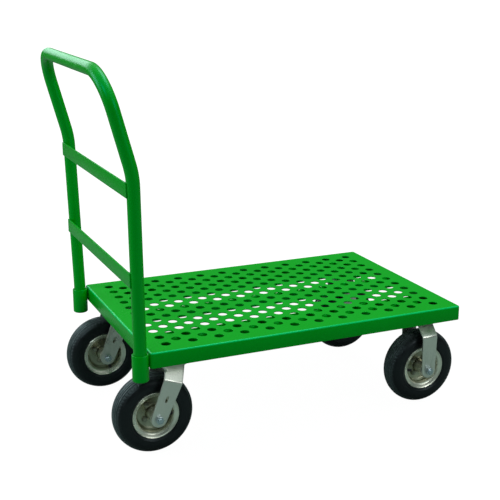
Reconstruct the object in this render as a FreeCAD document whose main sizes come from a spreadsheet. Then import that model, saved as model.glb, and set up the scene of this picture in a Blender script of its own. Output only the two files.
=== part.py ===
import FreeCAD, Part
import math
import os
import Sketcher

# Platform trolley for nursery and greenhouse work: perforated sheet-steel deck,
# pipe sockets at one end with a lift-out push handle, two swivel and two rigid
# casters with pneumatic tyres on clamped two-piece steel rims.
#
# Row frame: +X points away from the handle, +Y to the left of the person who
# pushes, +Z up.  The origin is on the floor, below the middle of the overall box.
# Most pieces are drawn in the deck frame (origin at the middle of the deck's top
# face) and placed with one common offset.

V = FreeCAD.Vector
doc = FreeCAD.newDocument("platform_trolley")

# ---------------------------------------------------------------- dimensions
DIMS = [
    # deck pan
    ("deck_length", 914.4), ("deck_width", 609.6), ("deck_height", 297.5),
    ("sheet_gauge", 2.7), ("lip_depth", 41.0), ("lip_corner", 8.0), ("fold_radius", 5.0),
    ("hole_diameter", 25.4), ("hole_step_along", 72.6), ("hole_step_across", 50.8),
    # stiffening under the deck
    ("rail_inner", 168.0), ("rail_outer", 218.0), ("rail_gauge", 2.5), ("rail_length", 900.0),
    ("spine_web", 12.7), ("spine_flange", 25.0), ("spine_gauge", 2.5),
    ("pad_length", 126.0), ("pad_gauge", 4.8), ("pad_inner_edge", 155.0), ("pad_window", 36.0),
    # handle sockets
    ("socket_od", 42.2), ("socket_bore", 35.05), ("socket_top_drop", 5.0), ("socket_bottom_drop", 75.0),
    ("socket_half_spacing", 286.5), ("socket_round", 4.0), ("plug_gauge", 5.0),
    # handle
    ("tube_od", 33.4), ("tube_wall", 2.6), ("leg_rest_gap", 0.05),
    ("leg_lean", 0.0215), ("leg_splay", 0.028), ("bend_height", 448.0), ("top_height", 689.5),
    ("top_slope", 0.27), ("top_half_width", 296.0), ("bend_radius", 230.0), ("corner_radius", 92.0),
    ("brace_height", 36.5), ("brace_gauge", 4.0), ("upper_brace_level", 414.0),
    ("lower_brace_level", 190.0), ("brace_overhang", 3.0),
    # casters
    ("axle_level", -190.0), ("kingpin_x", -378.0), ("swivel_offset", 54.0), ("caster_y", 230.0),
    ("rigid_x", 375.0), ("plate_along", 114.0), ("plate_across", 102.0), ("plate_gauge", 5.0),
    ("bolt_step_along", 92.0), ("bolt_step_across", 66.7), ("bolt_diameter", 9.5), ("bolt_hole", 10.3),
    ("fork_gauge", 5.0), ("fork_outer", 56.0), ("rigid_leg_width", 46.5), ("swivel_leg_width", 51.0),
    ("leg_end_radius", 21.0),
    ("slot_width", 7.0), ("slot_length", 18.0),
    ("ball_diameter", 8.0), ("ball_circle", 33.0), ("ball_level", -52.5),
    ("kingpin_diameter", 12.0), ("axle_diameter", 12.7), ("sleeve_od", 19.0),
    # wheels
    ("tyre_radius", 107.5), ("tyre_half_width", 33.2), ("rim_flange_radius", 63.0),
    ("bead_seat_radius", 50.5), ("rim_gauge", 2.0), ("hub_bore", 35.0), ("hub_half_length", 44.0),
    ("bearing_width", 11.0), ("bearing_bore", 19.1), ("rim_bolt_circle", 28.0),
]
sheet = doc.addObject("Spreadsheet::Sheet", "dims")
for row, (alias, number) in enumerate(DIMS, start=1):
    sheet.set("A%d" % row, alias)
    sheet.set("B%d" % row, str(number))
    sheet.setAlias("B%d" % row, alias)
doc.recompute()


class Q:
    """A length that carries both its number and its spreadsheet expression."""

    def __init__(self, number, text):
        self.v = float(number)
        self.e = text

    def _pair(self, other):
        return other if isinstance(other, Q) else Q(other, "(%s)" % repr(float(other)))

    def __add__(self, o):
        o = self._pair(o)
        return Q(self.v + o.v, "(%s + %s)" % (self.e, o.e))
    __radd__ = __add__

    def __sub__(self, o):
        o = self._pair(o)
        return Q(self.v - o.v, "(%s - %s)" % (self.e, o.e))

    def __rsub__(self, o):
        return self._pair(o) - self

    def __mul__(self, o):
        o = self._pair(o)
        return Q(self.v * o.v, "(%s * %s)" % (self.e, o.e))
    __rmul__ = __mul__

    def __truediv__(self, o):
        o = self._pair(o)
        return Q(self.v / o.v, "(%s / %s)" % (self.e, o.e))

    def __neg__(self):
        return Q(-self.v, "(-1 * %s)" % self.e)


D = {alias: Q(sheet.get(alias), "dims." + alias) for alias, number in DIMS}


def q(value):
    return value if isinstance(value, Q) else Q(value, repr(float(value)))


def num(name):
    return D[name].v


# ------------------------------------------------------------ modelling helpers
SUBPARTS = []


def bind(obj, prop, value):
    value = q(value)
    setattr(obj, prop, value.v)
    if "dims." in value.e:
        obj.setExpression(prop, value.e)


def new_body(label):
    b = doc.addObject("PartDesign::Body", label)
    b.Label = label
    return b


def plane(b, role):
    return [f for f in b.Origin.OriginFeatures if f.Role == role][0]


def new_sketch(b, role, offset=None):
    sk = b.newObject("Sketcher::SketchObject", "outline")
    sk.AttachmentSupport = [(plane(b, role), "")]
    sk.MapMode = "FlatFace"
    if offset is not None:
        offset = q(offset)
        sk.AttachmentOffset = FreeCAD.Placement(V(0, 0, offset.v), FreeCAD.Rotation())
        if "dims." in offset.e:
            sk.setExpression(".AttachmentOffset.Base.z", offset.e)
    return sk


def pin_point(sk, geo, pos, x, y):
    """Ties one sketch point to a position given by two lengths."""
    for kind, axis, val in (("DistanceX", -2, x), ("DistanceY", -1, y)):
        val = q(val)
        if val.v == 0 and "dims." not in val.e:
            sk.addConstraint(Sketcher.Constraint("PointOnObject", geo, pos, axis))
        else:
            n = sk.addConstraint(Sketcher.Constraint(kind, -1, 1, geo, pos, val.v))
            if "dims." in val.e:
                sk.setExpression("Constraints[%d]" % n, val.e)


def outline(sk, verts, arcs=None):
    """Closed outline through verts; arcs maps an edge index to (radius, side)."""
    arcs = arcs or {}
    first = len(sk.Geometry)
    n = len(verts)
    ends = []
    for i in range(n):
        a = V(q(verts[i][0]).v, q(verts[i][1]).v, 0)
        b = V(q(verts[(i + 1) % n][0]).v, q(verts[(i + 1) % n][1]).v, 0)
        if i in arcs:
            radius, side = arcs[i]
            r = q(radius).v
            chord = b - a
            half = chord.Length / 2
            r = max(r, half * 1.0001)
            normal = V(-chord.y, chord.x, 0)
            normal.normalize()
            mid = (a + b) * 0.5
            centre = mid - normal * side * math.sqrt(r * r - half * half)
            top = centre + (mid - centre).normalize() * r if (mid - centre).Length > 1e-6 else centre + normal * side * r
            arc = Part.Arc(a, top, b)
            g = sk.addGeometry(arc, False)
            # the arc object may run the other way round, so its ends are looked up
            start = sk.getPoint(g, 1)
            ends.append((1, 2) if (start - a).Length < 1e-4 else (2, 1))
        else:
            sk.addGeometry(Part.LineSegment(a, b), False)
            ends.append((1, 2))
    for i in range(n):
        j = (i + 1) % n
        sk.addConstraint(Sketcher.Constraint("Coincident", first + i, ends[i][1], first + j, ends[j][0]))
    for i in range(n):
        pin_point(sk, first + i, ends[i][0], verts[i][0], verts[i][1])
    for i in arcs:
        radius = q(arcs[i][0])
        c = sk.addConstraint(Sketcher.Constraint("Radius", first + i, radius.v))
        if "dims." in radius.e:
            sk.setExpression("Constraints[%d]" % c, radius.e)
    return sk


def circle(sk, x, y, radius):
    x, y, radius = q(x), q(y), q(radius)
    g = sk.addGeometry(Part.Circle(V(x.v, y.v, 0), V(0, 0, 1), radius.v), False)
    pin_point(sk, g, 3, x, y)
    c = sk.addConstraint(Sketcher.Constraint("Radius", g, radius.v))
    if "dims." in radius.e:
        sk.setExpression("Constraints[%d]" % c, radius.e)
    return g


def pad(b, sk, length, symmetric=False, flip=False):
    f = b.newObject("PartDesign::Pad", "pad")
    f.Profile = sk
    bind(f, "Length", length)
    if symmetric:
        f.SideType = "Symmetric"
    f.Reversed = flip
    doc.recompute()
    return f


def cut(b, sk, length=None, symmetric=False, flip=False):
    before = b.Shape.Volume
    f = b.newObject("PartDesign::Pocket", "pocket")
    f.Profile = sk
    if length is None:
        f.Type = "ThroughAll"
    else:
        bind(f, "Length", length)
    if symmetric:
        f.SideType = "Symmetric"
    f.Reversed = flip
    doc.recompute()
    if not b.Shape.Volume < before - 1e-6:
        raise RuntimeError("pocket removed nothing from %s" % b.Label)
    return f


def revolve(b, sk, axis="V_Axis"):
    f = b.newObject("PartDesign::Revolution", "revolution")
    f.Profile = sk
    f.ReferenceAxis = (sk, [axis])
    f.Angle = 360.0
    doc.recompute()
    return f


def groove(b, sk, axis="V_Axis"):
    before = b.Shape.Volume
    f = b.newObject("PartDesign::Groove", "groove")
    f.Profile = sk
    f.ReferenceAxis = (sk, [axis])
    f.Angle = 360.0
    doc.recompute()
    if not b.Shape.Volume < before - 1e-6:
        raise RuntimeError("groove removed nothing from %s" % b.Label)
    return f


def polar(b, feature, axis_role, count):
    f = b.newObject("PartDesign::PolarPattern", "around")
    f.Originals = [feature]
    f.Axis = (plane(b, axis_role), [""])
    f.Angle = 360.0
    f.Occurrences = count
    b.Tip = f
    doc.recompute()
    return f


def grid(b, feature, sk, step_x, count_x, step_y, count_y):
    f = b.newObject("PartDesign::LinearPattern", "grid")
    f.Originals = [feature]
    f.Direction = (sk, ["H_Axis"])
    f.Direction2 = (sk, ["V_Axis"])
    bind(f, "Length", q(step_x) * (count_x - 1))
    bind(f, "Length2", q(step_y) * (count_y - 1))
    f.Occurrences = count_x
    f.Occurrences2 = count_y
    b.Tip = f
    doc.recompute()
    return f


def round_edges(b, radius, pick):
    """Rounds the edges of the body's tip for which pick(edge) is true."""
    base = b.Tip
    names = ["Edge%d" % (i + 1) for i, e in enumerate(base.Shape.Edges) if pick(e)]
    if not names:
        raise RuntimeError("no edge to round on %s" % b.Label)
    f = b.newObject("PartDesign::Fillet", "rounding")
    f.Base = (base, names)
    bind(f, "Radius", radius)
    doc.recompute()
    return f


def place(obj, x=0.0, y=0.0, z=0.0, spin=0.0, about=V(0, 1, 0)):
    """Puts a deck-frame position into the row frame."""
    obj.Placement = FreeCAD.Placement(V(x + SHIFT, y, z + num("deck_height")),
                                      FreeCAD.Rotation(about, spin))
    SUBPARTS.append(obj)
    return obj


def group(label, shapes):
    """Several separate solids that share one node."""
    f = doc.addObject("Part::Feature", label)
    f.Label = label
    f.Shape = Part.makeCompound(shapes)
    return f


def mid_of(edge):
    return edge.valueAt((edge.FirstParameter + edge.LastParameter) / 2)


def along_x(e, y, z, tol=0.01):
    c = e.BoundBox
    return c.YLength < tol and c.ZLength < tol and abs(c.YMin - y) < tol and abs(c.ZMin - z) < tol and c.XLength > 1


# ---------------------------------------------------------------- handle line
LEG_X0 = -(num("deck_length") / 2 + num("socket_od") / 2)
LEG_Y0 = num("socket_half_spacing")
BEND_X = LEG_X0 - num("leg_lean") * num("bend_height")
BEND_Y = LEG_Y0 + num("leg_splay") * num("bend_height")
TOP_X = BEND_X - num("top_slope") * (num("top_height") - num("bend_height"))
TOP_Y = num("top_half_width")

# offset that centres the overall box (handle's back to rigid tyres) on X = 0
X_BACK = TOP_X - num("tube_od") / 2
X_FRONT = num("rigid_x") + num("tyre_radius")
SHIFT = -(X_BACK + X_FRONT) / 2


def leg_axis(level, sign):
    """Centre line of a handle leg between socket and bend, at a level above the deck."""
    return V(LEG_X0 - num("leg_lean") * level, sign * (LEG_Y0 + num("leg_splay") * level), level)


# -------------------------------------------------------------------- deck pan
def build_deck_pan():
    b = new_body("deck_pan")
    hl, hw = D["deck_length"] / 2, D["deck_width"] / 2

    def ring(sk, inset, corner):
        x, y, c = hl - inset, hw - inset, q(corner)
        verts = [(-x + c, -y), (x - c, -y), (x, -y + c), (x, y - c),
                 (x - c, y), (-x + c, y), (-x, y - c), (-x, -y + c)]
        outline(sk, verts, {1: (c, -1), 3: (c, -1), 5: (c, -1), 7: (c, -1)})

    sk = new_sketch(b, "XY_Plane")
    ring(sk, 0.0, D["lip_corner"])
    pad(b, sk, D["lip_depth"], flip=True)
    round_edges(b, D["fold_radius"], lambda e: e.BoundBox.ZLength < 0.01 and abs(e.BoundBox.ZMin) < 0.01)
    sk = new_sketch(b, "XY_Plane", -D["lip_depth"])
    ring(sk, D["sheet_gauge"], D["lip_corner"] - D["sheet_gauge"])
    cut(b, sk, D["lip_depth"] - D["sheet_gauge"], flip=True)
    floor = -num("sheet_gauge")
    round_edges(b, D["fold_radius"] - D["sheet_gauge"],
                lambda e: e.BoundBox.ZLength < 0.01 and abs(e.BoundBox.ZMin - floor) < 0.01
                and abs(e.BoundBox.XMax) < num("deck_length") / 2 - 1)
    # drainage holes: rows of twelve with rows of eleven staggered between them
    for first_x, first_y, nx, ny in ((-5.5, -5.0, 12, 11), (-5.0, -4.5, 11, 10)):
        sk = new_sketch(b, "XY_Plane")
        circle(sk, D["hole_step_along"] * first_x, D["hole_step_across"] * first_y, D["hole_diameter"] / 2)
        hole = cut(b, sk, D["sheet_gauge"] * 2)
        grid(b, hole, sk, D["hole_step_along"], nx, D["hole_step_across"], ny)
    return place(b)


# ------------------------------------------------------------- deck stiffening
def build_rail(label, side):
    """Channel on its back: web edges welded to the deck sheet, bottom on the caster pads."""
    b = new_body(label)
    t = D["rail_gauge"]
    top, low = -D["sheet_gauge"], -(D["lip_depth"] - D["pad_gauge"])
    inner, outer = D["rail_inner"], D["rail_outer"]
    verts = [(inner, top), (inner, low + 4.0), (inner + 4.0, low), (outer - 4.0, low), (outer, low + 4.0), (outer, top),
             (outer - t, top), (outer - t, low + 4.0), (outer - 4.0, low + t), (inner + 4.0, low + t),
             (inner + t, low + 4.0), (inner + t, top)]
    if side < 0:
        n = len(verts)
        verts = [(-y, z) for y, z in verts][::-1]
        arcs = {n - 2 - 1: (4.0, -1), n - 2 - 3: (4.0, -1), n - 2 - 7: (1.5, 1), n - 2 - 9: (1.5, 1)}
    else:
        arcs = {1: (4.0, -1), 3: (4.0, -1), 7: (1.5, 1), 9: (1.5, 1)}
    sk = new_sketch(b, "YZ_Plane")
    outline(sk, verts, arcs)
    pad(b, sk, D["rail_length"], symmetric=True)
    # the inner pair of each caster's bolts passes through the channel's bottom
    row = (D["caster_y"] - D["bolt_step_across"] / 2) * side
    for centre in (D["kingpin_x"], D["rigid_x"]):
        sk = new_sketch(b, "XY_Plane", low + t + 1.0)
        for i in (-1, 1):
            circle(sk, centre + D["bolt_step_along"] * (0.5 * i), row, D["bolt_hole"] / 2)
        cut(b, sk, t + 3.0)
    return place(b)


def build_spine():
    """Angle under the middle of the deck: upright web, foot turned towards +Y."""
    b = new_body("centre_stiffener")
    t, top, low = D["spine_gauge"], -D["sheet_gauge"], -(D["lip_depth"] - D["pad_gauge"])
    y1 = D["spine_web"]
    y0, y2 = y1 - t, y1 - t + D["spine_flange"]
    verts = [(y0, top), (y0, low + 4.0), (y0 + 4.0, low), (y2, low), (y2, low + t), (y0 + 4.0, low + t),
             (y1, low + 4.0), (y1, top)]
    sk = new_sketch(b, "YZ_Plane")
    outline(sk, verts, {1: (4.0, -1), 5: (1.5, 1)})
    pad(b, sk, D["rail_length"], symmetric=True)
    return place(b)


def build_pads():
    """Four welded plates that close the pan's corners and carry the casters."""
    proto = new_body("pad_pattern")
    length, inner = D["pad_length"], D["pad_inner_edge"]
    outer = D["deck_width"] / 2 - D["sheet_gauge"]
    centre = D["caster_y"]
    sk = new_sketch(proto, "XY_Plane")
    outline(sk, [(-length / 2, inner - centre), (length / 2, inner - centre),
                 (length / 2, outer - centre), (-length / 2, outer - centre)])
    pad(proto, sk, D["pad_gauge"])
    sk = new_sketch(proto, "XY_Plane")
    circle(sk, 0, 0, D["pad_window"] / 2)
    cut(proto, sk, D["pad_gauge"] * 2, flip=True)
    sk = new_sketch(proto, "XY_Plane")
    circle(sk, -D["bolt_step_along"] / 2, -D["bolt_step_across"] / 2, D["bolt_hole"] / 2)
    hole = cut(proto, sk, D["pad_gauge"] * 2, flip=True)
    grid(proto, hole, sk, D["bolt_step_along"], 2, D["bolt_step_across"], 2)
    shapes = []
    for x in (num("kingpin_x"), num("rigid_x")):
        for side in (1, -1):
            s = proto.Shape.copy()
            if side < 0:
                s = s.mirror(V(0, 0, 0), V(0, 1, 0))
            s.translate(V(x, side * num("caster_y"), -num("lip_depth")))
            shapes.append(s)
    return place(group("caster_mount_pads", shapes))


# -------------------------------------------------------------- handle sockets
def build_socket(label, side):
    b = new_body(label)
    ro, ri = D["socket_od"] / 2, D["socket_bore"] / 2
    top, low, rr = -D["socket_top_drop"], -D["socket_bottom_drop"], D["socket_round"]
    sk = new_sketch(b, "XZ_Plane")
    outline(sk, [(ri, low), (ro - rr, low), (ro, low + rr), (ro, top - 1.0), (ro - 1.0, top), (ri, top)],
            {1: (rr, -1)})
    revolve(b, sk)
    # weld run that ties the socket to the end lip
    sk = new_sketch(b, "XY_Plane", top - 3.0)
    outline(sk, [(ro - 2.8, -5.0), (ro, -5.0), (ro, 5.0), (ro - 2.8, 5.0)])
    pad(b, sk, D["lip_depth"] - 10.0, flip=True)
    return place(b, LEG_X0, side * LEG_Y0)


def build_socket_plugs():
    b = new_body("plug_pattern")
    sk = new_sketch(b, "XZ_Plane")
    ri = D["socket_bore"] / 2
    low = -D["socket_bottom_drop"]
    outline(sk, [(0, low), (ri - 1.0, low), (ri, low + 1.0), (ri, low + D["plug_gauge"]), (0, low + D["plug_gauge"])])
    revolve(b, sk)
    shapes = []
    for side in (1, -1):
        s = b.Shape.copy()
        s.translate(V(LEG_X0, side * LEG_Y0, 0))
        shapes.append(s)
    return place(group("socket_end_plugs", shapes))


# ---------------------------------------------------------------------- handle
def fillet_path(points, radii):
    """Straight runs joined by tangent arcs; radii are given for the inner points."""
    edges = []
    here = points[0]
    for i in range(1, len(points) - 1):
        a, b, c = points[i - 1], points[i], points[i + 1]
        u = (a - b).normalize()
        w = (c - b).normalize()
        angle = math.acos(max(-1.0, min(1.0, u.dot(w))))
        reach = radii[i - 1] / math.tan(angle / 2)
        p0, p1 = b + u * reach, b + w * reach
        centre = b + (u + w).normalize() * (radii[i - 1] / math.sin(angle / 2))
        mid = centre + (b - centre).normalize() * radii[i - 1]
        edges.append(Part.LineSegment(here, p0).toShape())
        edges.append(Part.Arc(p0, mid, p1).toShape())
        here = p1
    edges.append(Part.LineSegment(here, points[-1]).toShape())
    return Part.Wire(edges)


def build_handle():
    """One bent tube; it is not a planar bend, so it is swept along a wire in space."""
    foot = -(num("socket_bottom_drop") - num("plug_gauge")) + num("leg_rest_gap")
    start = 12.0

    def leg(sign):
        return [V(LEG_X0, sign * LEG_Y0, foot), V(LEG_X0, sign * LEG_Y0, start),
                V(BEND_X, sign * BEND_Y, num("bend_height"))]
    left, right = leg(1), leg(-1)
    top = [V(TOP_X, -TOP_Y, num("top_height")), V(TOP_X, TOP_Y, num("top_height"))]
    points = right + top + left[::-1]
    rb, rc = num("bend_radius"), num("corner_radius")
    wire = fillet_path(points, [300.0, rb, rc, rc, rb, 300.0])

    def swept(radius):
        ring = Part.Wire(Part.makeCircle(radius, points[0], V(0, 0, 1)))
        return wire.makePipeShell([ring], True, True)
    outer = swept(num("tube_od") / 2)
    inner = swept(num("tube_od") / 2 - num("tube_wall"))
    tube = outer.cut(inner)
    solid = tube.Solids[0]
    section = math.pi * ((num("tube_od") / 2) ** 2 - (num("tube_od") / 2 - num("tube_wall")) ** 2)
    print("handle tube: volume over section times length = %.4f" % (solid.Volume / (section * wire.Length)))
    f = doc.addObject("Part::Feature", "handle_tube")
    f.Label = "handle_tube"
    f.Shape = solid
    place(f)

    # flat bars on the back of the legs, coped to sit on the tube
    for label, alias in (("upper_brace", "upper_brace_level"), ("lower_brace", "lower_brace_level")):
        level = num(alias)
        p = leg_axis(level, 1)
        half = p.y + num("brace_overhang")
        bar = doc.addObject("Part::Box", label + "_bar")
        bind(bar, "Length", D["brace_gauge"])
        bar.Width = 2 * half
        bind(bar, "Height", D["brace_height"])
        lean = math.degrees(math.atan(num("leg_lean")))
        back = p.x - num("tube_od") / 2 + 0.9 - num("brace_gauge")
        bar.Placement = FreeCAD.Placement(V(back, -half, level - num("brace_height") / 2),
                                          FreeCAD.Rotation(V(0, 1, 0), 0))
        core = doc.addObject("Part::Feature", label + "_tube_envelope")
        core.Shape = outer
        bar_cut = doc.addObject("Part::Cut", label)
        bar_cut.Base = bar
        bar_cut.Tool = core
        bar_cut.Label = label
        doc.recompute()
        place(bar_cut)


# --------------------------------------------------------------------- casters
def fork_front(b, crown_top, crown_half, knee, knee_x=0.0, tilt=0.0):
    """Front view of the folded strap: crown, sloping shoulders and upright legs.

    With a tilt the fold at the knee falls towards +X, square to a leg that leans back, and the
    crown narrows towards +X to suit.
    """
    t, out = D["fork_gauge"], D["fork_outer"]
    foot = D["axle_level"] - D["leg_end_radius"] - 6.0
    ct = q(crown_top)
    rise, run = ct.v - knee, out.v - crown_half
    bend = math.atan2(rise, run)
    inset, drop = t.v * math.tan(bend / 2), t.v * math.tan((math.pi / 2 - bend) / 2)

    def section(x):
        kz = knee - tilt * (x - knee_x)
        ch = out.v - (ct.v - kz) * run / rise
        corners = [(-ch, ct, 11.0), (ch, ct, 11.0), (out, kz, 11.0), (out, foot, 0), (out - t, foot, 0),
                   (out - t, kz - drop, 6.0), (ch - inset, ct - t, 6.0), (-ch + inset, ct - t, 6.0),
                   (-out + t, kz - drop, 6.0), (-out + t, foot, 0), (-out, foot, 0), (-out, kz, 11.0)]
        flat = [V(q(y).v, q(z).v, 0) for y, z, r in corners]
        verts, arcs = [], {}
        for i, (y, z, r) in enumerate(corners):
            if not r:
                verts.append((y, z))
                continue
            u = (flat[i - 1] - flat[i]).normalize()
            w = (flat[(i + 1) % len(flat)] - flat[i]).normalize()
            reach = r / math.tan(math.acos(u.dot(w)) / 2)
            a, c = flat[i] + u * reach, flat[i] + w * reach
            arcs[len(verts)] = (r, 1 if u.cross(w).z > 0 else -1)
            verts += [(a.x, a.y), (c.x, c.y)]
        sk = new_sketch(b, "YZ_Plane", x)
        outline(sk, verts, arcs)
        return sk
    f = b.newObject("PartDesign::AdditiveLoft", "strap")
    near = section(-75.0)
    far = section(75.0)
    f.Profile = near
    f.Sections = [far]
    f.Ruled = True
    b.Tip = f
    doc.recompute()


def fork_side(b, crown_top, knee, knee_x, axle_x, crown_half_x, width, slot):
    """Side view: everything outside the strap's outline is cut away."""
    w, r = width / 2, D["leg_end_radius"]
    ax, az = q(axle_x), D["axle_level"]
    kx, kz = q(knee_x), q(knee)
    dx, dz = kx.v - ax.v, kz.v - az.v
    length = math.hypot(dx, dz)
    ux, uz = dx / length, dz / length          # up the leg
    nx, nz = uz, -ux                           # across the leg, towards +X
    # the leg's sides run tangent to its round end
    left_low = (ax - r * nx, az - r * nz)
    right_low = (ax + r * nx, az + r * nz)
    wide = q(crown_half_x)
    top = q(crown_top) + 2.0
    shelf = q(crown_top) - 9.5
    lean = (shelf.v - kz.v) * ux / uz           # the strap keeps its slope above the knee
    verts = [right_low, (kx + w / uz, kz), (kx + w / uz + lean + 0.5, shelf), (wide, shelf + 3.0), (wide, top), (-wide, top),
             (-wide, shelf + 3.0), (kx - w / uz + lean - 0.5, shelf), (kx - w / uz, kz), left_low]
    sk = new_sketch(b, "XZ_Plane")
    outline(sk, verts, {9: (r, -1)})
    outline(sk, [(-140.0, az - 60.0), (140.0, az - 60.0), (140.0, 20.0), (-140.0, 20.0)])
    cut(b, sk, symmetric=True)
    sk = new_sketch(b, "XZ_Plane")
    circle(sk, ax, az, D["axle_diameter"] / 2 + 0.05)
    cut(b, sk, symmetric=True)
    if slot:
        cx, cz = ax.v + ux * 56.0, az.v + uz * 56.0
        hl, hs = D["slot_length"] / 2, D["slot_width"] / 2
        corner = [(-hs * nx - hl * ux, -hs * nz - hl * uz), (hs * nx - hl * ux, hs * nz - hl * uz),
                  (hs * nx + hl * ux, hs * nz + hl * uz), (-hs * nx + hl * ux, -hs * nz + hl * uz)]
        sk = new_sketch(b, "XZ_Plane")
        outline(sk, [(x + cx, z + cz) for x, z in corner])
        cut(b, sk, symmetric=True)


def build_swivel_plate(label, side):
    """Bolt-on plate with the upper race of the swivel bearing."""
    b = new_body(label)
    t = D["plate_gauge"]
    top = -D["lip_depth"]
    sk = new_sketch(b, "XY_Plane", top)
    x, y = D["plate_along"] / 2, D["plate_across"] / 2
    verts = [(-x + 8.0, -y), (x - 8.0, -y), (x, -y + 8.0), (x, y - 8.0), (x - 8.0, y), (-x + 8.0, y), (-x, y - 8.0), (-x, -y + 8.0)]
    outline(sk, verts, {1: (8.0, -1), 3: (8.0, -1), 5: (8.0, -1), 7: (8.0, -1)})
    pad(b, sk, t, flip=True)
    sk = new_sketch(b, "XY_Plane", top - t)
    circle(sk, 0, 0, 43.0)
    pad(b, sk, 4.5, flip=True)
    sk = new_sketch(b, "XY_Plane", top)
    circle(sk, 0, 0, D["kingpin_diameter"] / 2)
    cut(b, sk, 20.0)
    sk = new_sketch(b, "XY_Plane", top)
    circle(sk, -D["bolt_step_along"] / 2, -D["bolt_step_across"] / 2, D["bolt_hole"] / 2)
    hole = cut(b, sk, 7.0)
    grid(b, hole, sk, D["bolt_step_along"], 2, D["bolt_step_across"], 2)
    sk = new_sketch(b, "XZ_Plane")
    circle(sk, D["ball_circle"], D["ball_level"], D["ball_diameter"] / 2 + 0.35)
    groove(b, sk)
    return place(b, num("kingpin_x"), side * num("caster_y"))


CROWN_TOP = D["ball_level"] - 2.0


def build_swivel_fork(label, side):
    b = new_body(label)
    fork_front(b, CROWN_TOP, 30.0, -93.0, -13.5, 0.36)
    fork_side(b, CROWN_TOP, -93.0, -13.5, -D["swivel_offset"], 44.0, D["swivel_leg_width"], True)
    # the crown is trimmed round so that it clears the plate bolts as it turns
    sk = new_sketch(b, "XY_Plane", CROWN_TOP + 1.0)
    circle(sk, 0, 0, 47.5)
    outline(sk, [(-90.0, -90.0), (90.0, -90.0), (90.0, 90.0), (-90.0, 90.0)])
    cut(b, sk, 14.0)
    sk = new_sketch(b, "XY_Plane", CROWN_TOP + 1.0)
    circle(sk, 0, 0, D["kingpin_diameter"] / 2 + 0.05)
    cut(b, sk, 20.0)
    sk = new_sketch(b, "XZ_Plane")
    circle(sk, D["ball_circle"], D["ball_level"], D["ball_diameter"] / 2 + 0.02)
    groove(b, sk)
    return place(b, num("kingpin_x"), side * num("caster_y"))


def build_rigid_fork(label, side):
    """Plate and strap of a rigid caster, welded into one piece."""
    b = new_body(label)
    fork_front(b, -D["lip_depth"] - D["plate_gauge"] + 0.5, 16.0, -87.0)
    fork_side(b, -D["lip_depth"] - D["plate_gauge"] + 0.5, -87.0, 0.0, 0.0, 38.0, D["rigid_leg_width"], False)
    top = -D["lip_depth"]
    sk = new_sketch(b, "XY_Plane", top)
    x, y = D["plate_along"] / 2, D["plate_across"] / 2
    verts = [(-x + 8.0, -y), (x - 8.0, -y), (x, -y + 8.0), (x, y - 8.0), (x - 8.0, y), (-x + 8.0, y), (-x, y - 8.0), (-x, -y + 8.0)]
    outline(sk, verts, {1: (8.0, -1), 3: (8.0, -1), 5: (8.0, -1), 7: (8.0, -1)})
    pad(b, sk, D["plate_gauge"], flip=True)
    sk = new_sketch(b, "XY_Plane", top)
    circle(sk, -D["bolt_step_along"] / 2, -D["bolt_step_across"] / 2, D["bolt_hole"] / 2)
    hole = cut(b, sk, 7.0)
    grid(b, hole, sk, D["bolt_step_along"], 2, D["bolt_step_across"], 2)
    return place(b, num("rigid_x"), side * num("caster_y"))


def hexagon(flats, height, z0, bore=0.0, chamfer=0.9):
    """Hexagon prism with turned corners, axis +Z."""
    r = flats / math.sqrt(3)
    pts = [V(r * math.cos(math.radians(60 * i)), r * math.sin(math.radians(60 * i)), z0) for i in range(7)]
    s = Part.Face(Part.makePolygon(pts)).extrude(V(0, 0, height))
    cone = Part.makeCone(flats / 2 - 0.1 + chamfer * 2.2, flats / 2 - 0.1, chamfer * 1.2, V(0, 0, z0 + height - chamfer * 1.2), V(0, 0, 1))
    barrel = Part.makeCylinder(flats / 2 - 0.1 + chamfer * 2.2, height - chamfer * 1.2, V(0, 0, z0))
    s = s.common(barrel.fuse(cone).removeSplitter())
    if bore:
        s = s.cut(Part.makeCylinder(bore, height + 2, V(0, 0, z0 - 1)))
    return s.Solids[0]


def along_y(shape):
    """Turns a fastener drawn along +Z so that it points along -Y."""
    s = shape.copy()
    s.rotate(V(0, 0, 0), V(1, 0, 0), 90)
    return s


def plate_bolt_points():
    pts = []
    for x in (num("kingpin_x"), num("rigid_x")):
        for side in (1, -1):
            for i in (-1, 1):
                for j in (-1, 1):
                    pts.append(V(x + i * num("bolt_step_along") / 2,
                                 side * num("caster_y") + j * num("bolt_step_across") / 2, 0))
    return pts


def build_plate_fasteners():
    """Hexagon bolts from below, plain washers and nuts above the pads."""
    r = num("bolt_diameter") / 2
    plate_low = -num("lip_depth") - num("plate_gauge")
    pad_top = -num("lip_depth") + num("pad_gauge")
    shank = Part.makeCylinder(r, pad_top + 14.5 - plate_low, V(0, 0, plate_low))
    head = hexagon(14.3, 5.6, 0).mirror(V(0, 0, 0), V(0, 0, 1))
    head.translate(V(0, 0, plate_low))
    bolt = shank.fuse(head).removeSplitter().Solids[0]
    washer = Part.makeCylinder(11.0, 1.8, V(0, 0, pad_top)).cut(Part.makeCylinder(r + 0.3, 4, V(0, 0, pad_top - 1)))
    nut = hexagon(14.3, 8.0, pad_top + 1.8, bore=r)
    for label, shape in (("caster_plate_bolts", bolt), ("caster_plate_washers", washer), ("caster_plate_nuts", nut)):
        copies = []
        for p in plate_bolt_points():
            s = shape.copy()
            s.translate(p)
            if label != "caster_plate_bolts" and abs(p.y) < num("rail_outer"):
                s.translate(V(0, 0, num("rail_gauge")))
            copies.append(s)
        place(group(label, copies))


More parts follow.
